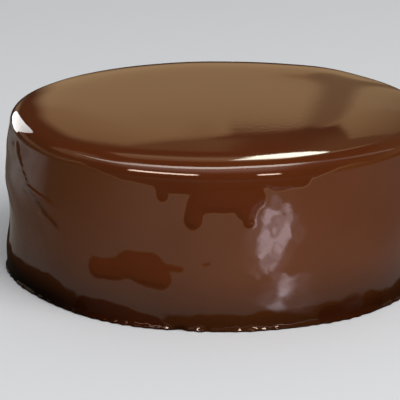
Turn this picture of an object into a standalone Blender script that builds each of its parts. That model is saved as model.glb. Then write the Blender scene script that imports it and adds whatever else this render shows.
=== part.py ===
"""Round chocolate mud cake under a poured mirror glaze, as one closed solid.

The cake stands on z = 0 with its axis on +Z and its front towards -Y.  The skin is a stack of rings:
each ring is one station of the profile, carried round the axis and pushed out or in by the relief
of the glaze: runs that rolled over the brim, a patch that set on the wall, folds, slow swells and
the bead at the foot.  A bearing is the angle round the axis in degrees, 0 at the front and growing
towards +X.
"""

import math
import random

import bmesh
import bpy
import numpy as np

MM = 0.001

# Driving dimensions, in metres.
BRIM_RADIUS = 100.0 * MM  # radius of the wall just under the rounded brim
HEIGHT = 77.5 * MM
DRAFT = 1.8 * MM  # how much wider the wall is at the foot than at the brim
BRIM_ROUND = 8.0 * MM  # radius of the rounded brim
BRIM_SLOPE = math.radians(10.0)  # how far the top has tipped down where the rounding starts
DOME_START = 60.0 * MM  # the top is level inside this radius
BEAD_REACH = 0.5 * MM  # how far the bead of set glaze stands out at the foot
BEAD_HEIGHT = 1.2 * MM
BEAD_TUCK = 0.3 * MM  # how far the skin turns back in under the bead
BEAD_FADE, TUCK_FADE = 0.8, 2.2  # how fast the bead and the tuck die away, per BEAD_HEIGHT
FOOT_HEIGHT = 1.6 * BEAD_HEIGHT  # the rings stand closer together up to here

# Thick glaze that rolled over the brim and set on the wall.
SHEET_LINE = 70.0 * MM  # its lower edge between the runs
SHEET_WAVE, SHEET_LOBES, SHEET_PHASE = 0.4 * MM, 7, 2.8
FRONT_DIP = (-2.5, 5.6, 29.0)  # where the edge hangs lower: bearing, depth in mm, half width in degrees
SHEET_SLOPE = 0.030  # how much its face leans in with height
SHEET_FADE = 67.5 * MM  # height where it meets the glaze of the brim
EDGE_WIDTH = 2.6 * MM  # width of the step along its lower edge
RUN_BLEND = 2.0 * MM  # how softly neighbouring runs flow together
PATCH_SLOPE = 0.030
PATCH_TOP = 34.0 * MM

# Runs are round-ended bars: bearing and height of one end, of the other end, and half width.
FRONT_RUNS = (
    (-3.2, 60.0, 7.8, 60.4, 6.3),
    (-5.8, 57.0, -6.6, 50.2, 4.0),
    (6.6, 58.0, 7.1, 48.9, 2.8),
    (6.0, 58.0, 6.4, 54.4, 4.6),
    (-14.6, 66.0, -14.2, 60.4, 2.1),
    (-11.5, 65.6, -8.5, 65.6, 3.9),
    (14.5, 66.6, 20.5, 66.8, 4.1),
)
RUNS_FROM, RUNS_TO = 60.0, 272.0  # more runs are drawn by a seeded draw between these bearings
RUN_GAPS = (9.0, 12.0, 20.0, 28.0)
RUN_TIPS = (43.0, 60.0)
RUN_HALF_WIDTHS = (3.4, 5.4)

# The patch of thick glaze that set on the wall at the front left, as bars of the same form.
PATCH_BARS = (
    (-32.0, 23.5, -26.0, 24.2, 4.8),
    (-22.5, 27.6, -17.8, 27.4, 6.6),
    (-20.0, 24.0, -14.6, 22.8, 4.4),
    (-15.5, 28.6, -9.6, 27.6, 1.1),
)

# Slow swells of the wall: bearing, height, push outward, spread round and spread up, in mm.
SWELLS = (
    (-86.0, 45.5, 2.0, 32.0, 11.0),
    (-84.0, 9.0, 1.6, 30.0, 9.0),
    (-84.0, 60.0, 0.8, 28.0, 6.0),
    (-78.0, 70.0, -1.2, 30.0, 7.0),
    (-27.0, 0.0, 0.9, 24.0, 5.0),
    (37.0, 0.0, 0.8, 14.0, 5.0),
    (-104.0, 72.0, 1.5, 26.0, 16.0),
    (-131.0, 72.0, 0.7, 24.0, 20.0),
    (145.0, 72.0, 0.9, 42.0, 30.0),
    (62.0, 38.0, 0.8, 30.0, 18.0),
    (100.0, 30.0, -0.7, 34.0, 16.0),
    (190.0, 28.0, 0.9, 36.0, 14.0),
)
# The same for the bead at the foot: bearing, push outward in mm and spread round in mm.
BEAD_SWELLS = (
    (-80.0, 0.9, 13.0),
    (-63.0, 0.5, 9.0),
    (-44.0, -0.3, 9.0),
    (-20.0, 0.3, 10.0),
    (-9.8, -1.7, 3.0),
    (-1.0, -0.3, 5.0),
    (7.0, 0.3, 5.0),
    (31.0, 0.7, 12.0),
    (71.0, 0.6, 11.0),
    (112.0, -0.3, 15.0),
    (150.0, 0.7, 17.0),
    (208.0, 0.6, 12.0),
    (241.0, -0.3, 15.0),
)
# A low hump of the top, towards the back right: bearing, distance from the axis, rise and spread.
TOP_HUMP = (150.0, 90.0, 0.75, 24.0)

# Folds in the wall, as bars without width that rise by FOLD_RISE.
FOLDS = (
    (-68.5, 64.5, -61.0, 52.5, 0.0),
    (-61.5, 50.5, -55.5, 45.2, 0.0),
    (-55.8, 46.0, -46.5, 37.6, 0.0),
    (-60.0, 50.5, -49.0, 48.0, 0.0),
    (-81.0, 43.5, -73.0, 35.5, 0.0),
)
FOLD_RISE = 0.3 * MM
FOLD_WIDTH = 3.8 * MM

RIPPLE_DEPTH = 0.05 * MM
RIPPLE_WAVES = 26
RIPPLE_LOBES = (3, 17)
RIPPLE_CLIMB = 70.0  # greatest change of phase with height, in radians a metre
SEED = 20

SEGMENTS = 144
FOOT_RINGS = 4
WALL_RINGS = 21
BRIM_RINGS = 7
TOP_RINGS = 5
SHARP_ANGLE = math.radians(60.0)


def ramp(value, low, high):
    """0 below low, 1 above high, with a smooth rise between."""
    share = np.clip((value - low) / (high - low), 0.0, 1.0)
    return share * share * (3.0 - 2.0 * share)


def soft_least(first, second, blend):
    """The lesser of two distances, rounded where they cross."""
    share = np.clip(0.5 + 0.5 * (second - first) / blend, 0.0, 1.0)
    return second + (first - second) * share - blend * share * (1.0 - share)


def across(bearing, centre):
    """Distance round the wall from a centre bearing, the short way."""
    turn = (bearing - centre + 180.0) % 360.0 - 180.0
    return np.radians(turn) * BRIM_RADIUS


def bar_distance(bearing, height, bar):
    """Distance from a round-ended bar that lies on the wall; negative inside it."""
    start, start_height, end, end_height, half_width = bar
    side, up = across(bearing, start), height - start_height * MM
    run_side, run_up = across(end, start), (end_height - start_height) * MM
    share = np.clip((side * run_side + up * run_up) / (run_side**2 + run_up**2), 0.0, 1.0)
    return np.hypot(side - share * run_side, up - share * run_up) - half_width * MM


def glaze_runs():
    """Every run of thick glaze: those at the front, then others drawn round the rest."""
    draw = random.Random(SEED)
    runs = list(FRONT_RUNS)
    bearing = RUNS_FROM
    while bearing < RUNS_TO:
        tip, half_width = draw.uniform(*RUN_TIPS), draw.uniform(*RUN_HALF_WIDTHS)
        runs.append((bearing, HEIGHT / MM, bearing, tip + half_width, half_width))
        bearing += draw.choice(RUN_GAPS)
    return runs


def sheet_distance(bearing, height):
    """Distance below the thick glaze of the brim and its runs; negative where it lies."""
    centre, depth, half_width = FRONT_DIP
    aside = ((bearing - centre + 180.0) % 360.0 - 180.0) / half_width
    wave = SHEET_WAVE * np.cos(SHEET_LOBES * np.radians(bearing) + SHEET_PHASE)
    distance = SHEET_LINE - depth * MM * np.exp(-(aside**6)) + wave - height
    for run in glaze_runs():
        distance = soft_least(distance, bar_distance(bearing, height, run), RUN_BLEND)
    return distance


def patch_distance(bearing, height):
    """Distance from the patch of thick glaze on the wall; negative inside it."""
    distance = HEIGHT
    for bar in PATCH_BARS:
        distance = soft_least(distance, bar_distance(bearing, height, bar), RUN_BLEND)
    return distance


def glaze_thickness(bearing, height):
    """Extra thickness of the runs and the patch: most at the lower edge, none at the top."""
    sheet = 1.0 - ramp(sheet_distance(bearing, height), -EDGE_WIDTH, 0.0)
    patch = 1.0 - ramp(patch_distance(bearing, height), -EDGE_WIDTH, 0.0)
    sheet_depth = SHEET_SLOPE * np.maximum(SHEET_FADE - height, 0.0)
    patch_depth = PATCH_SLOPE * np.maximum(PATCH_TOP - height, 0.0)
    return sheet * sheet_depth + patch * patch_depth


def folds(bearing, height):
    """Slanting folds in the wall."""
    total = 0.0
    for fold in FOLDS:
        total = np.maximum(total, np.exp(-((bar_distance(bearing, height, fold) / FOLD_WIDTH) ** 2)))
    return total * FOLD_RISE


def swells(bearing, height):
    """Slow swells of the wall."""
    total = 0.0
    for centre, level, push, spread_round, spread_up in SWELLS:
        side = across(bearing, centre) / (spread_round * MM)
        up = (height - level * MM) / (spread_up * MM)
        total = total + push * MM * np.exp(-(side**2) - up**2)
    return total


def ripples(bearing, height):
    """Slow waves in the wall: a seeded sum of cosines that closes on itself round the cake."""
    draw = random.Random(SEED + 1)
    turn = np.radians(bearing)
    total = 0.0
    for _ in range(RIPPLE_WAVES):
        lobes = draw.randint(*RIPPLE_LOBES)
        climb = draw.uniform(-RIPPLE_CLIMB, RIPPLE_CLIMB)
        phase = draw.uniform(0.0, math.tau)
        total = total + np.cos(lobes * turn + climb * height + phase)
    return total * RIPPLE_DEPTH


def foot_bead(bearing, height):
    """The uneven bead of set glaze at the foot, tucked in under its widest line."""
    reach = BEAD_REACH
    for centre, push, spread in BEAD_SWELLS:
        reach = reach + push * MM * np.exp(-((across(bearing, centre) / (spread * MM)) ** 2))
    level = height / BEAD_HEIGHT
    tuck = BEAD_TUCK * np.maximum(1.0 - TUCK_FADE * level, 0.0) ** 2
    return reach * np.exp(-((BEAD_FADE * level) ** 2)) - tuck


def wall_relief(bearing, height):
    """How far the skin stands out from the plain drafted wall."""
    slow = swells(bearing, height) + ripples(bearing, height)
    return slow + folds(bearing, height) + glaze_thickness(bearing, height) + foot_bead(bearing, height)


def brim_start():
    """Radius where the top gives way to the rounded brim."""
    return BRIM_RADIUS - BRIM_ROUND * (1.0 - math.sin(BRIM_SLOPE))


def top_level(radius):
    """Height of the top: level in the middle, then tipping down ever faster towards the brim."""
    fall = math.tan(BRIM_SLOPE) / 3.0 / (brim_start() - DOME_START) ** 2
    return HEIGHT - fall * max(radius - DOME_START, 0.0) ** 3


def top_hump(bearing, radius):
    """Rise of the low hump in the top."""
    centre, distance, rise, spread = TOP_HUMP
    turn = np.radians(bearing - centre)
    gap_squared = radius**2 + (distance * MM) ** 2 - 2.0 * radius * distance * MM * np.cos(turn)
    return rise * MM * np.exp(-gap_squared / (spread * MM) ** 2)


def profile_stations():
    """The profile from the foot up the wall, over the brim and in to the middle: (radius, height)."""
    shoulder = top_level(brim_start()) - BRIM_ROUND * math.cos(BRIM_SLOPE)
    heights = [FOOT_HEIGHT * k / FOOT_RINGS for k in range(FOOT_RINGS)]
    heights += [FOOT_HEIGHT + (shoulder - FOOT_HEIGHT) * k / WALL_RINGS for k in range(WALL_RINGS)]
    stations = [(BRIM_RADIUS + DRAFT * (1.0 - height / shoulder), height) for height in heights]
    for k in range(BRIM_RINGS + 1):
        angle = (math.pi / 2.0 - BRIM_SLOPE) * k / BRIM_RINGS
        radius = BRIM_RADIUS - BRIM_ROUND * (1.0 - math.cos(angle))
        stations.append((radius, shoulder + BRIM_ROUND * math.sin(angle)))
    for k in range(1, TOP_RINGS + 1):
        radius = brim_start() * (1.0 - k / (TOP_RINGS + 1.0))
        stations.append((radius, top_level(radius)))
    return stations, shoulder


def skin_rings():
    """All rings of the skin, as an array of stations x bearings x 3, centred on the axis."""
    stations, shoulder = profile_stations()
    bearing = np.arange(SEGMENTS) * 360.0 / SEGMENTS
    turn = np.radians(bearing)
    rings = []
    for radius, height in stations:
        push = wall_relief(bearing, min(height, shoulder)) * min(radius / BRIM_RADIUS, 1.0) ** 4
        level = height + top_hump(bearing, radius) * ramp(height, shoulder, HEIGHT)
        reach = radius + push
        rings.append(np.stack([reach * np.sin(turn), -reach * np.cos(turn), level + 0.0 * turn], 1))
    rings = np.array(rings)
    middle = (rings.max(axis=(0, 1)) + rings.min(axis=(0, 1))) / 2.0
    middle[2] = 0.0
    return rings - middle


def build_cake():
    """Joins the rings with quads, closes the foot with one flat face and the top with a fan."""
    mesh = bpy.data.meshes.new("glazed_cake")
    skin = bmesh.new()
    rings = [[skin.verts.new(point) for point in ring] for ring in skin_rings()]
    for lower, upper in zip(rings, rings[1:]):
        for k in range(SEGMENTS):
            n = (k + 1) % SEGMENTS
            skin.faces.new((lower[k], lower[n], upper[n], upper[k]))
    skin.faces.new(reversed(rings[0]))
    crown = skin.verts.new((0.0, 0.0, HEIGHT))
    for k in range(SEGMENTS):
        skin.faces.new((rings[-1][k], rings[-1][(k + 1) % SEGMENTS], crown))
    skin.normal_update()
    skin.to_mesh(mesh)
    skin.free()
    mesh.shade_smooth()
    mesh.set_sharp_from_angle(angle=SHARP_ANGLE)
    cake = bpy.data.objects.new("glazed_cake", mesh)
    bpy.context.scene.collection.objects.link(cake)
    return cake


def glaze_material():
    """Dark milk-chocolate mirror glaze."""
    material = bpy.data.materials.new("chocolate_glaze")
    material.use_nodes = True
    shader = material.node_tree.nodes["Principled BSDF"]
    shader.inputs["Base Color"].default_value = (0.095, 0.028, 0.010, 1.0)
    shader.inputs["Roughness"].default_value = 0.06
    shader.inputs["Metallic"].default_value = 0.0
    return material


def main():
    for old in list(bpy.data.objects):
        bpy.data.objects.remove(old)
    cake = build_cake()
    cake.data.materials.append(glaze_material())


main()
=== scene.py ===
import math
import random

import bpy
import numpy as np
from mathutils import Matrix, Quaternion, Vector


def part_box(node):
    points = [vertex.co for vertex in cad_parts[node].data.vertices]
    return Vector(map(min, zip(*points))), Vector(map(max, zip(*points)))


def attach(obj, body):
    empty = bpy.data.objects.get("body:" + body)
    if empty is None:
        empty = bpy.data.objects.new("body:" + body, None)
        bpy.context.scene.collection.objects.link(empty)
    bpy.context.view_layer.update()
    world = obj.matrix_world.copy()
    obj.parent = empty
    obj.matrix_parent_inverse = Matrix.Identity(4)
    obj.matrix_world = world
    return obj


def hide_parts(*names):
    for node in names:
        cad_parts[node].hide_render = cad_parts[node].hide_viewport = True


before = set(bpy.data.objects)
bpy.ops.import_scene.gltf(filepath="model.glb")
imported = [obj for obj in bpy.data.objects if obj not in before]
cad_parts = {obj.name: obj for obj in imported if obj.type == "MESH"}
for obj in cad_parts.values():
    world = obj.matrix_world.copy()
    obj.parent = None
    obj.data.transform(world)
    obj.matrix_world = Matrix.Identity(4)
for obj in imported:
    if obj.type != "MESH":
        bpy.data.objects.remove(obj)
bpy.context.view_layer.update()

# A round chocolate mud cake under a poured mirror glaze.
#
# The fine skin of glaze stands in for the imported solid: the same profile and the same relief on a much
# finer grid, with the small waves and the sharper folds that a mirror finish shows up.
# A bearing is the angle round the axis in degrees, 0 at the front (-Y) and growing towards +X.

low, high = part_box("glazed_cake")
MM = 0.001

# The cake, in metres, as in the solid.
BRIM_RADIUS = 100.0 * MM  # of the wall just under the rounded brim
HEIGHT = 77.5 * MM
DRAFT = 1.8 * MM  # how much wider the wall is at the foot than at the brim
BRIM_ROUND = 8.0 * MM
BRIM_SLOPE = math.radians(10.0)  # how far the top has tipped down where the rounding starts
DOME_START = 60.0 * MM  # the top is level inside this radius
BEAD_REACH = 0.5 * MM  # how far the bead of set glaze stands out at the foot
BEAD_HEIGHT = 1.2 * MM
BEAD_TUCK = 0.3 * MM  # how far the skin turns back in under the bead
BEAD_FADE, TUCK_FADE = 0.8, 2.2  # how fast the bead and the tuck die away, per BEAD_HEIGHT
FOOT_HEIGHT = 1.6 * BEAD_HEIGHT  # the rings stand closer together up to here
RELIEF_FADE = 4  # the power by which the wall's relief dies away as the brim turns in

# Thick glaze that rolled over the brim.
SHEET_LINE = 70.0 * MM  # its lower edge between the runs
SHEET_WAVE, SHEET_LOBES, SHEET_PHASE = 0.4 * MM, 7, 2.8  # the slow wave in that edge
FRONT_DIP = (-2.5, 5.6, 29.0)  # where the edge hangs lower: bearing, depth in mm, half width in degrees
DIP_POWER = 6  # the higher, the steeper the dip's two ends
SHEET_SLOPE = 0.030  # how much thicker it gets per metre down
SHEET_FADE = 67.5 * MM  # height where it meets the glaze of the brim
EDGE_WIDTH = 2.8 * MM  # width of the step along its lower edge
RUN_BLEND = 2.0 * MM  # how softly neighbouring runs flow together
SEED = 20  # for the runs that are drawn, and for the waves

# Its runs, and all the bars below, are round-ended: the bearing and height of one end, of the other
# end, and the half width, in degrees and mm.
FRONT_RUNS = (
    (-3.2, 60.0, 7.8, 60.4, 6.3),
    (-5.8, 57.0, -6.6, 50.2, 4.0),
    (6.6, 58.0, 7.1, 48.9, 2.8),
    (6.0, 58.0, 6.4, 54.4, 4.6),
    (-14.6, 66.0, -14.2, 60.4, 2.1),
    (-11.5, 65.6, -8.5, 65.6, 3.9),
    (14.5, 66.6, 20.5, 66.8, 4.1),
)
# More runs are drawn between two bearings: the steps between them, their lower ends and half widths.
RUNS_FROM, RUNS_TO = 60.0, 272.0
RUN_GAPS = (9.0, 12.0, 20.0, 28.0)
RUN_TIPS = (43.0, 60.0)
RUN_HALF_WIDTHS = (3.4, 5.4)

# The patch of thick glaze that set on the wall at the front left.
PATCH_SLOPE = 0.030
PATCH_TOP = 34.0 * MM
PATCH_BARS = (
    (-32.0, 23.5, -26.0, 24.2, 4.8),
    (-22.5, 27.6, -17.8, 27.4, 6.6),
    (-20.0, 24.0, -14.6, 22.8, 4.4),
    (-15.5, 28.6, -9.6, 27.6, 1.1),
)

# Two flecks, and dark patches above the foot, a painted dark reflection of the ground under the cake:
# colour and gloss alone.
FLECKS = (
    (-3.9, 30.4, -2.7, 30.8, 0.7),
    (-2.3, 31.9, -1.6, 32.2, 0.3),
)
PAINTED_DARK_REFLECTIONS = (
    (-36.0, 3.4, -24.5, 2.4, 5.6),
    (-24.5, 1.4, -17.0, -0.6, 6.0),
    (28.5, 2.8, 44.0, 2.8, 5.4),
    (34.2, 7.6, 36.4, 8.2, 2.6),
)

# Slow swells of the wall: bearing, height, push outward, spread round and spread up, in mm.
SWELLS = (
    (-86.0, 45.5, 2.0, 32.0, 11.0),
    (-84.0, 9.0, 1.6, 30.0, 9.0),
    (-84.0, 60.0, 0.8, 28.0, 6.0),
    (-78.0, 70.0, -1.2, 30.0, 7.0),
    (-27.0, 0.0, 0.9, 24.0, 5.0),
    (37.0, 0.0, 0.8, 14.0, 5.0),
    (-104.0, 72.0, 1.5, 26.0, 16.0),
    (-131.0, 72.0, 0.7, 24.0, 20.0),
    (145.0, 72.0, 0.9, 42.0, 30.0),
    (62.0, 38.0, 0.8, 30.0, 18.0),
    (100.0, 30.0, -0.7, 34.0, 16.0),
    (190.0, 28.0, 0.9, 36.0, 14.0),
)

# Swells of the bead at the foot: bearing, push outward and spread round, in mm.
BEAD_SWELLS = (
    (-80.0, 0.9, 13.0),
    (-63.0, 0.5, 9.0),
    (-44.0, -0.3, 9.0),
    (-20.0, 0.3, 10.0),
    (-9.8, -1.7, 3.0),
    (-1.0, -0.3, 5.0),
    (7.0, 0.3, 5.0),
    (31.0, 0.7, 12.0),
    (71.0, 0.6, 11.0),
    (112.0, -0.3, 15.0),
    (150.0, 0.7, 17.0),
    (208.0, 0.6, 12.0),
    (241.0, -0.3, 15.0),
)

# The low hump in the top: bearing, distance from the axis, rise and spread, in mm.
TOP_HUMP = (147.0, 90.0, 0.7, 21.0)

# Folds that climb to the left, gentle below and steep on the side that faces up and to the front, along
# bars without width.
FOLDS = (
    (-68.5, 64.5, -61.0, 52.5, 0.0),
    (-61.5, 50.5, -55.5, 45.2, 0.0),
    (-55.8, 46.0, -46.5, 37.6, 0.0),
    (-60.0, 50.5, -49.0, 48.0, 0.0),
    (-81.0, 43.5, -73.0, 35.5, 0.0),
)
FOLD_RISE = 0.36 * MM
FOLD_WIDTH = 3.4 * MM
FOLD_STEEP = 0.9 * MM  # width of the steep side
FOLD_WOBBLE = 0.25  # degrees
WOBBLE_CLIMBS = (900.0, 2100.0)  # of its two waves, in radians a metre
WOBBLE_PHASE = 1.0
# The painted shade of the crease on each fold's steep side: how far from the fold, how wide, how dark in
# each fold, and how far below the brim the creases reach their full depth.
CREASE_PLACE, CREASE_WIDTH = 0.7 * MM, 1.1 * MM
CREASE_DEPTHS = (0.6, 0.9, 0.7, 0.25, 0.3)
CREASE_FADE = 4.0 * MM

# Waves in the skin: how many, the range of lobes round the cake, the greatest climb in radians a
# metre, and the depth of each.
SLOW_WAVES = (26, (3, 17), 70.0, 0.05 * MM)
FINE_WAVES = (40, (24, 90), 700.0, 0.0022 * MM)
FOOT_WAVES = (16, (50, 140), 900.0, 0.07 * MM)
# Where the fine waves are deeper: bearing, height, spread round and spread up in mm, and how much.
WRINKLED = (12.5, 34.0, 9.0, 26.0, 1.0)

# The grid of the skin.
SEGMENTS = 576
FOOT_RINGS = 14
WALL_RINGS = 108
BRIM_RINGS = 28
TOP_RINGS = 18
TOP_CROWDING = 1.5  # above 1 sets the top's rings closer together near the brim
SHARP_ANGLE = math.radians(60.0)  # edges that turn by more than this are shaded as sharp


# ---------------------------------------------------------------- the form of the glaze


def ramp(value, low_end, high_end):
    """0 below the low end, 1 above the high end, with a smooth rise between."""
    share = np.clip((value - low_end) / (high_end - low_end), 0.0, 1.0)
    return share * share * (3.0 - 2.0 * share)


def soft_least(first, second, blend):
    """The lesser of two distances, rounded where they cross."""
    share = np.clip(0.5 + 0.5 * (second - first) / blend, 0.0, 1.0)
    return second + (first - second) * share - blend * share * (1.0 - share)


def turn_from(bearing, centre):
    """Degrees round from a centre bearing, the short way."""
    return (bearing - centre + 180.0) % 360.0 - 180.0


def across(bearing, centre):
    """Distance round the wall from a centre bearing, the short way."""
    return np.radians(turn_from(bearing, centre)) * BRIM_RADIUS


def bar_distance(bearing, height, bar):
    """Distance from a round-ended bar that lies on the wall; negative inside it."""
    start, start_height, end, end_height, half_width = bar
    side, up = across(bearing, start), height - start_height * MM
    run_side, run_up = across(end, start), (end_height - start_height) * MM
    share = np.clip((side * run_side + up * run_up) / (run_side**2 + run_up**2), 0.0, 1.0)
    return np.hypot(side - share * run_side, up - share * run_up) - half_width * MM


def glaze_runs():
    """Every run of thick glaze: those at the front, then others drawn round the rest."""
    draw = random.Random(SEED)
    runs = list(FRONT_RUNS)
    bearing = RUNS_FROM
    while bearing < RUNS_TO:
        tip, half_width = draw.uniform(*RUN_TIPS), draw.uniform(*RUN_HALF_WIDTHS)
        runs.append((bearing, HEIGHT / MM, bearing, tip + half_width, half_width))
        bearing += draw.choice(RUN_GAPS)
    return runs


def sheet_distance(bearing, height):
    """Distance below the thick glaze of the brim and its runs; negative where it lies."""
    centre, depth, half_width = FRONT_DIP
    dip = depth * MM * np.exp(-((turn_from(bearing, centre) / half_width) ** DIP_POWER))
    wave = SHEET_WAVE * np.cos(SHEET_LOBES * np.radians(bearing) + SHEET_PHASE)
    distance = SHEET_LINE - dip + wave - height
    for run in glaze_runs():
        distance = soft_least(distance, bar_distance(bearing, height, run), RUN_BLEND)
    return distance


def patch_distance(bearing, height):
    """Distance from the patch of thick glaze on the wall; negative inside it."""
    distance = HEIGHT
    for bar in PATCH_BARS:
        distance = soft_least(distance, bar_distance(bearing, height, bar), RUN_BLEND)
    return distance


def glaze_thickness(bearing, height):
    """Extra thickness of the runs and the patch: most at the lower edge, none at the top."""
    sheet = 1.0 - ramp(sheet_distance(bearing, height), -EDGE_WIDTH, 0.0)
    patch = 1.0 - ramp(patch_distance(bearing, height), -EDGE_WIDTH, 0.0)
    sheet_depth = SHEET_SLOPE * np.maximum(SHEET_FADE - height, 0.0)
    patch_depth = PATCH_SLOPE * np.maximum(PATCH_TOP - height, 0.0)
    return sheet * sheet_depth + patch * patch_depth


def fold_gaps(bearing, height):
    """For each fold, the distance from it, and whether a point lies on its steep side."""
    slow_climb, fast_climb = WOBBLE_CLIMBS
    wobble = np.cos(slow_climb * height) + np.cos(fast_climb * height + WOBBLE_PHASE)
    bearing = bearing + FOLD_WOBBLE * wobble
    for fold in FOLDS:
        start, start_height, end, end_height, _ = fold
        run_side, run_up = across(end, start), (end_height - start_height) * MM
        above = (height - start_height * MM) * run_side - across(bearing, start) * run_up
        yield bar_distance(bearing, height, fold), above > 0.0


def folds(bearing, height):
    """Slanting folds in the wall, highest along their bars."""
    total = 0.0
    for gap, steep in fold_gaps(bearing, height):
        width = np.where(steep, FOLD_STEEP, FOLD_WIDTH)
        total = np.maximum(total, FOLD_RISE * np.exp(-((gap / width) ** 2)))
    return total


def creases(bearing, height):
    """How much painted shade lies in the creases on the steep sides of the folds, from 0 to 1."""
    total = 0.0
    for depth, (gap, steep) in zip(CREASE_DEPTHS, fold_gaps(bearing, height)):
        painted_line = np.exp(-(((gap - CREASE_PLACE) / CREASE_WIDTH) ** 2)) * steep
        total = np.maximum(total, depth * painted_line)
    return total


def swells(bearing, height):
    """Slow swells of the wall."""
    total = 0.0
    for centre, level, push, spread_round, spread_up in SWELLS:
        side = across(bearing, centre) / (spread_round * MM)
        up = (height - level * MM) / (spread_up * MM)
        total = total + push * MM * np.exp(-(side**2) - up**2)
    return total


def waves(bearing, height, recipe, seed):
    """A seeded sum of cosines that closes on itself round the cake."""
    count, lobe_range, climb_most, depth = recipe
    draw = random.Random(seed)
    turn = np.radians(bearing)
    total = 0.0
    for _ in range(count):
        lobes = draw.randint(*lobe_range)
        climb = draw.uniform(-climb_most, climb_most)
        phase = draw.uniform(0.0, math.tau)
        total = total + np.cos(lobes * turn + climb * height + phase)
    return total * depth


def foot_bead(bearing, height):
    """The uneven bead of set glaze at the foot, tucked in under its widest line."""
    reach = BEAD_REACH
    for centre, push, spread in BEAD_SWELLS:
        reach = reach + push * MM * np.exp(-((across(bearing, centre) / (spread * MM)) ** 2))
    level = height / BEAD_HEIGHT
    tuck = BEAD_TUCK * np.maximum(1.0 - TUCK_FADE * level, 0.0) ** 2
    reach = reach + waves(bearing, height, FOOT_WAVES, SEED + 3)
    return reach * np.exp(-((BEAD_FADE * level) ** 2)) - tuck


def wall_relief(bearing, height):
    """How far the skin stands out from the plain drafted wall."""
    slow = swells(bearing, height) + waves(bearing, height, SLOW_WAVES, SEED + 1)
    centre, level, spread_round, spread_up, deeper = WRINKLED
    side = across(bearing, centre) / spread_round / MM
    up = (height - level * MM) / spread_up / MM
    wrinkled = np.exp(-(side**2) - up**2)
    fine = waves(bearing, height, FINE_WAVES, SEED + 2) * (1.0 + deeper * wrinkled)
    thick = glaze_thickness(bearing, height) + folds(bearing, height)
    return slow + fine + thick + foot_bead(bearing, height)


def brim_start():
    """Radius where the top gives way to the rounded brim."""
    return BRIM_RADIUS - BRIM_ROUND * (1.0 - math.sin(BRIM_SLOPE))


def top_level(radius):
    """Height of the top: level in the middle, then tipping down ever faster towards the brim."""
    fall = math.tan(BRIM_SLOPE) / 3.0 / (brim_start() - DOME_START) ** 2
    return HEIGHT - fall * max(radius - DOME_START, 0.0) ** 3


def top_hump(bearing, radius):
    """Rise of the low hump in the top."""
    centre, distance, rise, spread = TOP_HUMP
    turn = np.radians(bearing - centre)
    gap_squared = radius**2 + (distance * MM) ** 2 - 2.0 * radius * distance * MM * np.cos(turn)
    return rise * MM * np.exp(-gap_squared / (spread * MM) ** 2)


def profile_stations():
    """The profile from the foot up the wall, over the brim and in to the middle: (radius, height)."""
    shoulder = top_level(brim_start()) - BRIM_ROUND * math.cos(BRIM_SLOPE)
    heights = [FOOT_HEIGHT * k / FOOT_RINGS for k in range(FOOT_RINGS)]
    heights += [FOOT_HEIGHT + (shoulder - FOOT_HEIGHT) * k / WALL_RINGS for k in range(WALL_RINGS)]
    stations = [(BRIM_RADIUS + DRAFT * (1.0 - height / shoulder), height) for height in heights]
    for k in range(BRIM_RINGS + 1):
        angle = (math.pi / 2.0 - BRIM_SLOPE) * k / BRIM_RINGS
        radius = BRIM_RADIUS - BRIM_ROUND * (1.0 - math.cos(angle))
        stations.append((radius, shoulder + BRIM_ROUND * math.sin(angle)))
    for k in range(1, TOP_RINGS + 1):
        radius = brim_start() * (1.0 - (k / (TOP_RINGS + 1.0)) ** TOP_CROWDING)
        stations.append((radius, top_level(radius)))
    return np.array(stations), shoulder


def skin_rings():
    """The points of the skin (stations x bearings x 3) and two values at each of them: the distance
    from the edge of thick glaze in mm, negative inside it, and how dark the painted shade in a crease of a
    fold is."""
    stations, shoulder = profile_stations()
    radius, height = stations[:, :1], stations[:, 1:]
    bearing = np.arange(SEGMENTS)[None, :] * 360.0 / SEGMENTS
    turn = np.radians(bearing)
    on_wall = np.minimum(height, shoulder) + 0.0 * bearing
    push = wall_relief(bearing, on_wall) * np.minimum(radius / BRIM_RADIUS, 1.0) ** RELIEF_FADE
    level = height + top_hump(bearing, radius) * ramp(height, shoulder, HEIGHT)
    reach = radius + push
    rings = np.stack([reach * np.sin(turn), -reach * np.cos(turn), level], 2)

    # The skin is centred over the solid that it stands in for.
    middle = (rings.max(axis=(0, 1)) + rings.min(axis=(0, 1))) / 2.0
    middle[2] = 0.0
    rings += np.array((low + high) / 2.0) * (1.0, 1.0, 0.0) - middle

    edge = np.minimum(sheet_distance(bearing, level), patch_distance(bearing, level))
    for bar in FLECKS + PAINTED_DARK_REFLECTIONS:
        edge = np.minimum(edge, bar_distance(bearing, level, bar))
    crease = creases(bearing, on_wall) * ramp(shoulder - height, 0.0, CREASE_FADE)
    return rings, edge / MM, crease


def mesh_object(name, points, faces):
    """A smooth-shaded mesh, linked to the scene."""
    mesh = bpy.data.meshes.new(name)
    mesh.from_pydata(points, [], faces)
    mesh.update()
    mesh.shade_smooth()
    piece = bpy.data.objects.new(name, mesh)
    bpy.context.scene.collection.objects.link(piece)
    return piece


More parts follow.
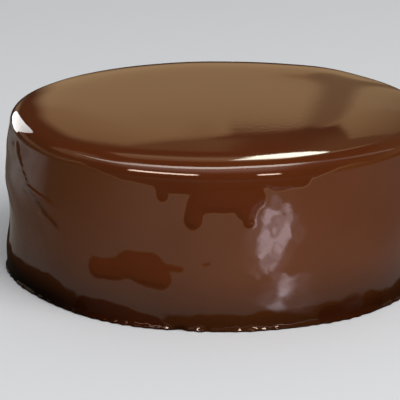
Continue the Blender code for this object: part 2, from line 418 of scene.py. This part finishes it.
def glaze_skin():
    """The fine skin: rings joined with quads, one flat face below and a fan on top."""
    rings, edge, crease = skin_rings()
    count = len(rings)
    first = np.arange(count - 1)[:, None] * SEGMENTS + np.arange(SEGMENTS)[None, :]
    second = np.arange(count - 1)[:, None] * SEGMENTS + (np.arange(SEGMENTS)[None, :] + 1) % SEGMENTS
    quads = np.stack([first, second, second + SEGMENTS, first + SEGMENTS], 2).reshape(-1, 4)
    crown = count * SEGMENTS
    last = (count - 1) * SEGMENTS
    fan = [(last + k, last + (k + 1) % SEGMENTS, crown) for k in range(SEGMENTS)]
    foot = [tuple(range(SEGMENTS - 1, -1, -1))]
    points = np.vstack([rings.reshape(-1, 3), [(0.0, 0.0, HEIGHT)]])
    skin = mesh_object("glaze_skin", points.tolist(), quads.tolist() + fan + foot)
    skin.data.set_sharp_from_angle(angle=SHARP_ANGLE)
    for name, field in (("edge", edge), ("crease", crease)):
        values = np.append(field.ravel(), field[-1, 0]).astype(np.float32)
        skin.data.attributes.new(name, "FLOAT", "POINT").data.foreach_set("value", values)
    return skin


# ---------------------------------------------------------------- node trees


class Tree:
    """A node tree that is built from Python expressions."""

    def __init__(self, owner):
        owner.use_nodes = True
        self.tree = owner.node_tree
        self.tree.nodes.clear()

    def node(self, kind, settings=None, sockets=None):
        """Adds a node, sets its settings, then feeds its sockets with values or links."""
        node = self.tree.nodes.new("ShaderNode" + kind)
        for name, value in (settings or {}).items():
            setattr(node, name, value)
        for name, value in (sockets or {}).items():
            self.feed(node.inputs[name], value)
        return node

    def feed(self, socket, value):
        """Links a socket to a number or another socket, or sets it to a plain value."""
        source = value.socket if isinstance(value, Number) else value
        if isinstance(source, bpy.types.NodeSocket):
            self.tree.links.new(source, socket)
        else:
            socket.default_value = source

    def number(self, socket):
        """An output to reckon with."""
        return Number(self, socket)

    def math(self, operation, *operands):
        """The result of a Math node."""
        sockets = dict(enumerate(operands))
        return self.number(self.node("Math", {"operation": operation}, sockets).outputs[0])

    def parts(self, vector):
        """The three numbers of a vector."""
        return [self.number(part) for part in self.node("SeparateXYZ", None, {0: vector}).outputs]

    def attribute(self, name):
        """A value that the mesh holds at each point."""
        return self.number(self.node("Attribute", {"attribute_name": name}).outputs["Fac"])

    def noise(self, place, scale, detail):
        """Cloudy noise between 0 and 1."""
        sockets = {"Vector": place, "Scale": scale, "Detail": detail}
        return self.number(self.node("TexNoise", None, sockets).outputs["Fac"])

    def mix(self, share, first, second):
        """Blends two colours."""
        node = self.node("Mix", {"data_type": "RGBA"}, {0: share, 6: first, 7: second})
        return node.outputs[2]

    def scaled(self, colour, factor):
        """A colour made brighter or darker."""
        sockets = {0: colour, "Scale": factor}
        return self.node("VectorMath", {"operation": "SCALE"}, sockets).outputs[0]


class Number:
    """A number in a node tree: arithmetic on it adds Math nodes."""

    def __init__(self, tree, socket):
        self.tree = tree
        self.socket = socket

    def math(self, operation, *others):
        """The result of a Math node that takes this number first."""
        return self.tree.math(operation, self, *others)

    def rise(self, start, end):
        """0 before start, 1 after end, with a smooth rise between."""
        settings = {"interpolation_type": "SMOOTHSTEP"}
        sockets = {"Value": self, "From Min": start, "From Max": end}
        return self.tree.number(self.tree.node("MapRange", settings, sockets).outputs[0])

    def between(self, start, end, soft):
        """1 between start and end, with soft edges as wide as soft, and 0 outside."""
        return self.rise(start - soft, start + soft) * (1.0 - self.rise(end - soft, end + soft))

    def most(self, other):
        """The greater of two numbers."""
        return self.math("MAXIMUM", other)

    def __abs__(self):
        return self.math("ABSOLUTE")

    def __neg__(self):
        return self * -1.0

    def __add__(self, other):
        return self.math("ADD", other)

    __radd__ = __add__

    def __sub__(self, other):
        return self.math("SUBTRACT", other)

    def __rsub__(self, other):
        return self.tree.math("SUBTRACT", other, self)

    def __mul__(self, other):
        return self.math("MULTIPLY", other)

    __rmul__ = __mul__

    def __truediv__(self, other):
        return self.math("DIVIDE", other)

    def __rtruediv__(self, other):
        return self.tree.math("DIVIDE", other, self)


# ---------------------------------------------------------------- the finish of the glaze

THIN_GLAZE = (0.112, 0.031, 0.0078, 1.0)
DEEP_GLAZE = (0.088, 0.0196, 0.0048, 1.0)
# The last is the colour of a painted highlight along the edges of the thick glaze.
EDGE_HIGHLIGHT = (0.150, 0.070, 0.034, 1.0)
MILKY_IOR, CLEAR_IOR = 1.48, 1.10
CLEAREST = 0.96  # the share of clear glaze where it lies thick
SMOOTHEST, CLOUDY_ROUGHNESS = 0.025, 0.03
CLOUDS = (18.0, 3.0)  # scale and detail of noise, here and in all that follow
# Noise that makes the edges of the thick glaze wander: scale, detail and how far in mm.
EDGE_WANDERS = (
    (240.0, 2.0, 1.0),
    (75.0, 1.0, 3.0),
)
# Across those edges, in mm from thick to thin: where the glaze turns from deep to thin and from clear
# to milky, where both do so at the ends of the front, and the place and width of a thin painted highlight.
DEEP_ENDS = (-0.45, 0.15)
CLEAR_ENDS = (0.1, 0.7)
FAINT_ENDS = (-5.0, 3.0)
HIGHLIGHT_LINE, HIGHLIGHT_WIDTH = 0.25, 0.45
PEEL = (420.0, 2.0)
PEEL_STRENGTH, PEEL_DEPTH = 0.03, 0.0002


def thick_glaze(tree, place, side, back, height):
    """How deep the glaze is, how clear, and how close to the painted highlight line round it, each from 0
    to 1.
    """
    edge = tree.attribute("edge")
    for scale, detail, reach in EDGE_WANDERS:
        edge = edge + (tree.noise(place, scale, detail) - 0.5) * reach
    deep = 1.0 - edge.rise(*DEEP_ENDS)
    clear = 1.0 - edge.rise(*CLEAR_ENDS)

    # In front, the edges grow faint towards the right, and high up towards the left.
    right_end = side.rise(0.04, 0.075)
    left_end = (0.6 - 0.6 * side.rise(-0.075, -0.02)) * height.rise(0.04, 0.05)
    fading = (right_end + left_end) * (1.0 - back.rise(-0.055, -0.035))
    faint = fading * (1.0 - edge.rise(*FAINT_ENDS))
    deep = deep * (1.0 - fading) + faint
    clear = clear * (1.0 - fading) + faint

    on_brim = height.rise(0.0665, 0.0695)
    # A painted highlight: a thin pale line along the edges of the thick glaze, stronger towards the right.
    painted_line = (1.0 - abs(edge - HIGHLIGHT_LINE).rise(0.0, HIGHLIGHT_WIDTH)) * height.rise(0.036, 0.05)
    strength = 0.45 + 0.35 * side.rise(0.012, 0.034)
    painted_line = painted_line * strength * (1.0 - side.rise(0.045, 0.07))
    return deep, clear * (1.0 - on_brim) * CLEAREST, painted_line


def glaze_shade(side, height, deep, clouds, crease):
    """How bright the colour is: a little more in the patch, and less low down, right at the foot, at both
    sides and in the creases, where the darkening is painted shade."""
    # Painted shade: darker low down and most of all right at the foot, more so on the left, and towards
    # both sides.
    low_down = 1.0 - height.rise(0.002, 0.030)
    foot = (1.0 - height.rise(0.002, 0.014)) * (0.38 - 0.26 * side.rise(-0.09, -0.03))
    left = (0.20 - 0.20 * side.rise(-0.080, -0.035)) * (1.0 - height.rise(0.066, 0.076))
    right = 0.13 * side.rise(0.02, 0.06) + 0.14 * side.rise(0.055, 0.09)
    patch = deep * height.between(0.013, 0.036, 0.003)
    shade = 1.0 - 0.40 * low_down + 0.20 * patch - foot - left - right
    return shade * (0.80 + 0.40 * clouds) * (1.0 - 0.65 * crease)


def glaze_finish():
    """Mirror glaze: deep and clear where it lies thick, milkier elsewhere, darker towards the foot by
    painted shade.
    """
    material = bpy.data.materials.new("chocolate_glaze")
    tree = Tree(material)
    place = tree.node("TexCoord").outputs["Object"]
    side, back, height = tree.parts(place)
    deep, clear, painted_line = thick_glaze(tree, place, side, back, height)
    clouds = tree.noise(place, *CLOUDS)
    colour = tree.mix(painted_line, tree.mix(deep, THIN_GLAZE, DEEP_GLAZE), EDGE_HIGHLIGHT)
    shade = glaze_shade(side, height, deep, clouds, tree.attribute("crease"))
    peel = tree.noise(place, *PEEL)
    bump = tree.node("Bump", None, {"Strength": PEEL_STRENGTH, "Distance": PEEL_DEPTH, "Height": peel})
    sockets = {
        "Base Color": tree.scaled(colour, shade),
        "Roughness": SMOOTHEST + CLOUDY_ROUGHNESS * clouds,
        "Normal": bump.outputs[0],
    }
    milky = tree.node("BsdfPrincipled", None, {**sockets, "IOR": MILKY_IOR})
    glassy = tree.node("BsdfPrincipled", None, {**sockets, "IOR": CLEAR_IOR})
    shader = tree.node("MixShader", None, {0: clear, 1: milky.outputs[0], 2: glassy.outputs[0]})
    tree.node("OutputMaterial", None, {0: shader.outputs[0]})
    return material


# ---------------------------------------------------------------- the floor

FLOOR_RADIUS = 8.0
FLOOR_SIDES = 96
FLOOR_DROP = 0.0002  # how far the floor lies below the foot
FLOOR_COLOUR = (0.69, 0.705, 0.73, 1.0)

# How the floor looks in the glaze, as radiances: dark right under the cake, then pale.
FLOOR_DARK = (0.020, 0.016, 0.012, 1.0)
FLOOR_MIRRORED = (0.44, 0.42, 0.40, 1.0)
FLOOR_MIRRORED_LEFT = (0.105, 0.096, 0.075, 1.0)
FLOOR_MIRRORED_RIGHT = (0.25, 0.225, 0.225, 1.0)
FLOOR_MIRRORED_BEHIND = (0.35, 0.35, 0.34, 1.0)
FLOOR_GLARE = (5.0, 4.3, 4.8, 1.0)
BOARD_RADIUS, BOARD_BLUR = 0.1285, 0.002  # the dark ring of floor right under the cake
BOARD_NOISE, BOARD_UNEVEN = (30.0, 3.0), 0.018  # how its rim wanders
FLOOR_CLOUDS = (9.0, 3.0)
NOTCH_BEARING, NOTCH_WIDTH = -21.5, 2.6  # where the bright floor reaches in towards the foot
NOTCH_DEPTH = 0.022
RIGHT_NOTCH = (54.0, 110.0, 4.0)  # from where to where it reaches in a little at the right, and the blur
RIGHT_NOTCH_DEPTH = 0.009
PALE_ENDS = (0.45, 0.47)  # the radius where the pale floor turns dark again
SHADE_REACH = (0.15, 0.24)  # the floor nearer than this casts no light back on the glaze

# Bright wedges on the floor, seen only in the glaze, all along one bearing: how far each lies to the
# side of the axis, where it starts and ends along it, its half widths there, its brightness and its
# slant. Noise makes their sides wander and clouds them.
GLARE_BEARING = math.radians(31.0)
GLARES = (
    (-0.0375, 0.252, 0.313, 0.036, 0.034, 1.1, 0.0),
    (-0.0440, 0.200, 0.252, 0.010, 0.035, 1.1, 0.12),
    (-0.0500, 0.186, 0.203, 0.005, 0.008, 0.9, 0.0),
    (-0.0460, 0.308, 0.337, 0.020, 0.016, 0.22, 0.0),
    (-0.0300, 0.126, 0.191, 0.005, 0.012, 1.25, 0.36),
)
GLARE_NOISE, GLARE_UNEVEN = (40.0, 3.0), 0.018
GLARE_CLOUDS = (36.0, 4.0)
GLARE_TILT = 0.35  # how far the ends of a wedge slant across it
GLARE_BLUR = 0.005
GLARE_SIDES = (-0.004, 0.009)  # where a wedge brightens, measured in from its side
GLARE_HALO, HALO_STRENGTH = (-0.03, 0.0), 0.10


def floor_glare(tree, place, side, back):
    """The bright wedges, each with a dimmer middle and a faint halo."""
    along = side * math.sin(GLARE_BEARING) - back * math.cos(GLARE_BEARING)
    aside = side * math.cos(GLARE_BEARING) + back * math.sin(GLARE_BEARING)
    aside = aside + (tree.noise(place, *GLARE_NOISE) - 0.5) * GLARE_UNEVEN
    glare = 0.0
    for offset, start, end, start_width, end_width, strength, slant in GLARES:
        half_width = start_width + (along - start) * ((end_width - start_width) / (end - start))
        from_middle = abs(aside - offset - (along - start) * slant)
        inside = half_width - from_middle
        core = inside.rise(*GLARE_SIDES) * (0.72 + 0.40 * from_middle.rise(0.004, 0.022))
        core = core + HALO_STRENGTH * inside.rise(*GLARE_HALO)
        reach = along + GLARE_TILT * (aside - offset)
        glare = glare + reach.between(start, end, GLARE_BLUR) * core * strength
    return glare * (0.42 + 0.75 * tree.noise(place, *GLARE_CLOUDS).rise(0.36, 0.62))


def mirrored_floor(tree, place, side, back, radius):
    """The floor as the glaze mirrors it: a dark ring, pale and cloudy beyond, with bright wedges."""
    bearing = side.math("ARCTAN2", -back) * math.degrees(1.0)
    notch = 1.0 - abs((bearing - NOTCH_BEARING) * (1.0 / NOTCH_WIDTH)).rise(0.1, 1.0)
    uneven = radius + (tree.noise(place, *BOARD_NOISE) - 0.5) * BOARD_UNEVEN + notch * NOTCH_DEPTH
    uneven = uneven + bearing.between(*RIGHT_NOTCH) * RIGHT_NOTCH_DEPTH
    beyond_board = uneven.rise(BOARD_RADIUS - BOARD_BLUR, BOARD_RADIUS + BOARD_BLUR)
    bright = beyond_board * (1.0 - radius.rise(*PALE_ENDS))
    pale = tree.mix((side - 0.5 * back).rise(-0.28, 0.06), FLOOR_MIRRORED_LEFT, FLOOR_MIRRORED)
    pale = tree.mix(side.rise(0.05, 0.25), pale, FLOOR_MIRRORED_RIGHT)
    behind = (1.0 - side.rise(-0.24, -0.17)) * back.rise(-0.03, 0.07)
    behind = behind * (1.0 - 0.5 * back.rise(0.12, 0.17))
    pale = tree.mix(behind, pale, FLOOR_MIRRORED_BEHIND)
    cloudy = 0.72 + 0.56 * tree.noise(place, *FLOOR_CLOUDS)
    ground = tree.mix(bright, FLOOR_DARK, tree.scaled(pale, cloudy))
    return tree.mix(floor_glare(tree, place, side, back), ground, FLOOR_GLARE)


def floor_finish():
    """Plain and pale to look at; in the glaze, a bright ring round a dark foot."""
    material = bpy.data.materials.new("floor")
    tree = Tree(material)
    place = tree.node("TexCoord").outputs["Object"]
    side, back, _ = tree.parts(place)
    radius = tree.number(tree.node("VectorMath", {"operation": "LENGTH"}, {0: place}).outputs["Value"])
    pattern = mirrored_floor(tree, place, side, back, radius)
    mirrored = tree.node("Emission", None, {"Color": pattern}).outputs[0]
    plain = tree.node("BsdfDiffuse", None, {"Color": FLOOR_COLOUR}).outputs[0]
    paths = tree.node("LightPath").outputs
    in_glaze = tree.number(paths["Is Glossy Ray"])
    on_glaze = tree.number(paths["Is Diffuse Ray"]) * (1.0 - radius.rise(*SHADE_REACH))
    chosen = tree.node("MixShader", None, {0: in_glaze + on_glaze, 1: plain, 2: mirrored})
    tree.node("OutputMaterial", None, {0: chosen.outputs[0]})
    return material


def floor():
    """A wide, plain, pale floor."""
    turns = [math.tau * k / FLOOR_SIDES for k in range(FLOOR_SIDES)]
    ring = [(FLOOR_RADIUS * math.sin(turn), FLOOR_RADIUS * math.cos(turn), 0.0) for turn in turns]
    ground = mesh_object("floor", ring, [tuple(range(FLOOR_SIDES - 1, -1, -1))])
    ground.location.z = -FLOOR_DROP
    ground.data.materials.append(floor_finish())


# ---------------------------------------------------------------- the room

# How the room looks in the glaze, as radiances.
ROOM_DARK = (0.03, 0.024, 0.018, 1.0)
ROOM_WALL = (0.585, 0.405, 0.216, 1.0)
ROOM_WALL_ABOVE = (0.50, 0.33, 0.165, 1.0)
ROOM_CEILING = (0.78, 0.54, 0.33, 1.0)
ROOM_GLOW = (2.0, 1.45, 1.25, 1.0)
WINDOW = (9.6, 9.3, 7.7, 1.0)
LAMP_ABOVE = (10.2, 9.3, 8.5, 1.0)
LAMPS_FRONT = (22.0, 17.0, 14.0, 1.0)
# How it lights everything, and how it looks from the camera.
SKY = (0.50, 0.50, 0.50, 1.0)
BACKGROUND = (0.60, 0.60, 0.61, 1.0)

# Soft-edged oblongs of the mirrored room: from where to where to the right and up, each with its
# blur, in degrees, and how strong.
WALL_FAINT = (-9.0, 0.7, 1.0, 16.5, 27.5, 1.4, 0.32)
WALL_DIM = (5.5, 85.0, 3.0, 17.0, 42.0, 4.0, 0.30)
CORNER = (-100.0, -66.0, 6.0, 27.0, 50.0, 4.0, 0.8)
SKIRTING = (-100.0, -14.0, 5.0, 0.5, 10.0, 2.5, 0.40)
LAMP_FRONT_LEFT = (-168.0, -134.0, 2.4, 17.0, 24.5, 0.9, 1.0)
LAMP_FRONT_RIGHT = (150.5, 160.5, 1.2, 12.8, 19.8, 0.9, 1.0)

# The long lamp overhead, on a flat ceiling one unit above the cake.
ARCH_FRONT, ARCH_BACK, ARCH_BLUR = -0.12, 0.15, 0.025
ARCH_PLACE = 0.46
BEND_LEFT, BEND_RIGHT, BEND_START = 0.28, 0.5, 0.05


def oblong(turn, rise, shape):
    """How much of an oblong of the mirrored room lies in a direction."""
    left, right, side_blur, bottom, top, level_blur, strength = shape
    return rise.between(bottom, top, level_blur) * turn.between(left, right, side_blur) * strength


def mirrored_wall(tree, turn, rise):
    """A warm wall behind: low, higher up at the left, and again at the right of a slanting dark gap."""
    lower_part = 1.0 - (rise - 0.5 * turn.rise(2.9, 3.7)).rise(14.75, 15.25)
    left_top = 15.1 + 10.6 * (1.0 - turn.rise(-6.0, 0.9))
    left_blur = 0.3 + 2.4 * (1.0 - turn.rise(-0.9, 0.3))
    left_part = 1.0 - ((rise - left_top) / left_blur).rise(-1.0, 1.0)
    left_part = left_part * (1.0 - turn.rise(0.2, 0.8))
    past_slant = (turn - 3.9 - (rise - 15.0) * 0.4).rise(-0.2, 0.35)
    right_part = past_slant * (1.0 - rise.rise(22.6, 24.6))
    wall = lower_part.most(left_part).most(right_part)
    wall = wall * rise.rise(-4.0, 6.0) * (1.0 - 0.5 * turn.rise(4.0, 14.0))
    from_left_end = turn - 0.6 + 0.6 * rise.rise(8.5, 13.0) + 0.7 * rise.rise(14.5, 17.5)
    wall = wall * from_left_end.rise(-10.1, -7.4)
    gap = (turn - 3.45 - (14.7 - rise) * 0.45).between(-0.6, 0.65, 0.4) * (1.0 - rise.rise(15.0, 15.6))
    wall = wall * (1.0 - 0.55 * gap) * (1.0 - turn.rise(70.0, 100.0))
    wall = wall.most(oblong(turn, rise, WALL_FAINT)).most(oblong(turn, rise, WALL_DIM))
    return tree.mix(wall, ROOM_DARK, tree.mix(rise.rise(13.9, 15.3), ROOM_WALL, ROOM_WALL_ABOVE))


def mirrored_ceiling(tree, colour, turn, rise):
    """A warm ceiling above the wall, with a corner and a skirting at the left."""
    ceiling_edge = 33.5 + 0.9 * (-7.5 - turn).most(0.0)
    ceiling = (rise - ceiling_edge).rise(-1.5, 2.5) * (1.0 - rise.rise(56.0, 74.0))
    ceiling = ceiling * turn.between(-60.0, 20.0, 2.0)
    ceiling = ceiling.most(oblong(turn, rise, CORNER)).most(oblong(turn, rise, SKIRTING))
    return tree.mix(ceiling, colour, ROOM_CEILING)


def mirrored_window(tree, colour, turn, rise):
    """A tall window at the back right, with a curved sill."""
    off_middle = turn - 6.0
    sill = 30.5 + 0.22 * off_middle * off_middle
    window = (rise - sill).rise(-0.5, 0.7) * (1.0 - rise.rise(47.0, 55.0)) * turn.between(2.4, 12.5, 0.5)
    return tree.mix(window, colour, WINDOW)


def lamp_overhead(tree, colour, side, back, up, rise):
    """A long lamp overhead that bends round to both sides, with its glow below it in front."""
    across_top, along_top = side / up, back / up
    to_left = (-across_top).most(0.0)
    to_right = across_top.most(BEND_START) - BEND_START
    arch = along_top + ARCH_PLACE - BEND_LEFT * to_left * to_left * to_left - BEND_RIGHT * to_right
    lamp = arch.between(ARCH_FRONT, ARCH_BACK, ARCH_BLUR) * up.rise(0.3, 0.4)
    lamp = lamp * (1.0 - 0.5 * to_left.rise(0.1, 1.0)) * (1.0 - to_left.rise(1.12, 1.30))
    lamp = lamp * (1.0 - 0.92 * to_right.rise(0.30, 0.62))
    in_front = 1.0 - back.rise(-0.25, 0.0)
    below_lamp = 1.0 - up.rise(0.86, 0.93)
    glow = rise.rise(24.0, 58.0) * in_front * below_lamp * (1.0 - 0.85 * side.rise(0.25, 0.6))
    return tree.mix(lamp, tree.mix(glow, colour, ROOM_GLOW), LAMP_ABOVE)


def mirrored_room(tree, side, back, up):
    """What the glaze mirrors above the floor; angles in degrees, 0 at the back and growing to the right."""
    rise = up.math("ARCSINE") * math.degrees(1.0)
    turn = side.math("ARCTAN2", back) * math.degrees(1.0)
    colour = mirrored_wall(tree, turn, rise)
    colour = mirrored_ceiling(tree, colour, turn, rise)
    colour = mirrored_window(tree, colour, turn, rise)
    colour = lamp_overhead(tree, colour, side, back, up, rise)
    in_front = oblong(turn, rise, LAMP_FRONT_LEFT) + oblong(turn, rise, LAMP_FRONT_RIGHT)
    return tree.mix(in_front, colour, LAMPS_FRONT)


def room():
    """The room round the cake: pale to look at, soft light, and warm walls and lamps in the glaze."""
    world = bpy.data.worlds.new("room")
    bpy.context.scene.world = world
    tree = Tree(world)
    side, back, up = tree.parts(tree.node("TexCoord").outputs["Generated"])
    paths = tree.node("LightPath").outputs
    seen = tree.mix(paths["Is Camera Ray"], SKY, BACKGROUND)
    colour = tree.mix(paths["Is Glossy Ray"], seen, mirrored_room(tree, side, back, up))
    shader = tree.node("Background", None, {"Color": colour})
    tree.node("OutputWorld", None, {0: shader.outputs[0]})


# ---------------------------------------------------------------- lights and camera

KEY_PLACE, KEY_AIM = (0.88, -1.05, 1.52), (0.0, 0.0, HEIGHT)
KEY_SIZE = (1.6, 1.6)
KEY_RADIANCE = 3.95
KEY_COLOUR = (1.0, 0.99, 0.97)
PANE_PLACE, PANE_AIM = (-0.352, 0.393, 0.150), (-0.095, -0.035, 0.072)
PANE_SIZE = (0.180, 0.30)
PANE_RADIANCE = 2.75
PANE_COLOUR = (1.0, 1.0, 1.0)
PANE_TILT = math.radians(-12.0)

CAMERA_PLACE = (0.0, -0.84, 0.289)
CAMERA_PITCH = math.radians(17.237)
CAMERA_TURN = math.radians(-0.622)
LENS, SENSOR_WIDTH = 163.8, 36.0
NEAREST, FARTHEST = 0.05, 30.0


def softbox(name, place, aim, size, radiance, colour):
    """A flat light at a place, turned to its aim, with its radiance given."""
    width, height = size
    light = bpy.data.lights.new(name, "AREA")
    light.shape = "RECTANGLE"
    light.size, light.size_y = width, height
    light.energy = radiance * math.pi * width * height
    light.color = colour
    lamp = bpy.data.objects.new(name, light)
    lamp.location = place
    lamp.rotation_mode = "QUATERNION"
    lamp.rotation_quaternion = (Vector(place) - Vector(aim)).to_track_quat("Z", "Y")
    lamp.visible_camera = False
    bpy.context.scene.collection.objects.link(lamp)
    return lamp


def lights():
    """A soft key from the right, and a tall pane that only the glaze mirrors, in the left of the brim."""
    key = softbox("key", KEY_PLACE, KEY_AIM, KEY_SIZE, KEY_RADIANCE, KEY_COLOUR)
    key.visible_glossy = False
    pane = softbox("pane", PANE_PLACE, PANE_AIM, PANE_SIZE, PANE_RADIANCE, PANE_COLOUR)
    pane.data.shape = "ELLIPSE"
    pane.rotation_quaternion @= Quaternion((0.0, 0.0, 1.0), PANE_TILT)
    pane.visible_diffuse = False


def camera():
    """The camera, held level, pitched down and turned a little."""
    data = bpy.data.cameras.new("camera")
    data.lens = LENS
    data.sensor_width = SENSOR_WIDTH
    data.clip_start = NEAREST
    data.clip_end = FARTHEST
    eye = bpy.data.objects.new("camera", data)
    flat = math.cos(CAMERA_PITCH)
    ahead = Vector((math.sin(CAMERA_TURN) * flat, math.cos(CAMERA_TURN) * flat, -math.sin(CAMERA_PITCH)))
    eye.location = CAMERA_PLACE
    eye.rotation_mode = "QUATERNION"
    eye.rotation_quaternion = ahead.to_track_quat("-Z", "Y")
    bpy.context.scene.collection.objects.link(eye)
    bpy.context.scene.camera = eye


# ---------------------------------------------------------------- put together

bpy.context.scene.view_settings.view_transform = "Standard"
camera()
floor()
room()
lights()

skin = glaze_skin()
skin.data.materials.append(glaze_finish())
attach(skin, "root")
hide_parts("glazed_cake")
